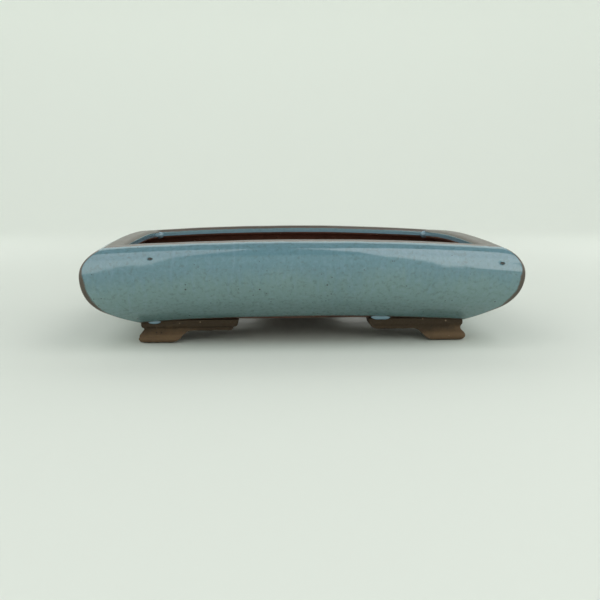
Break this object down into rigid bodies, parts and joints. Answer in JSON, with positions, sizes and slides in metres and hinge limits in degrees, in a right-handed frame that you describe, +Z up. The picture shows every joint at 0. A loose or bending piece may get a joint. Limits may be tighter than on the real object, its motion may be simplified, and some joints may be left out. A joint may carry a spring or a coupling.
{
  "type": "bonsai pot",
  "caption": "Shallow rectangular bonsai pot with incurving glazed walls, mitred corners, a flat inturned lip, stepped bracket feet and a pierced floor.",
  "frame": {"origin": "on the surface that the pot stands on, under the centre of the floor", "axes": "+X along the pot's width, +Y from the front wall to the back wall, +Z up"},
  "size_m": [0.2, 0.15, 0.05],
  "materials": {
    "glaze": "gloss, mottled grey-blue, breaking brown at the edges",
    "body_clay": "unglazed, fine, matt red-brown",
    "foot_clay": "unglazed, tooled, matt brown"
  },
  "bodies": {
    "root": {"floor_slab": "body_clay", "front_wall": "body_clay", "back_wall": "body_clay", "left_wall": "body_clay", "right_wall": "body_clay", "front_glaze": "glaze", "back_glaze": "glaze", "left_glaze": "glaze", "right_glaze": "glaze", "front_left_corner_coil": "body_clay", "front_right_corner_coil": "body_clay", "back_left_corner_coil": "body_clay", "back_right_corner_coil": "body_clay", "front_left_foot": "foot_clay", "front_right_foot": "foot_clay", "back_left_foot": "foot_clay", "back_right_foot": "foot_clay"}
  },
  "joints": []
}
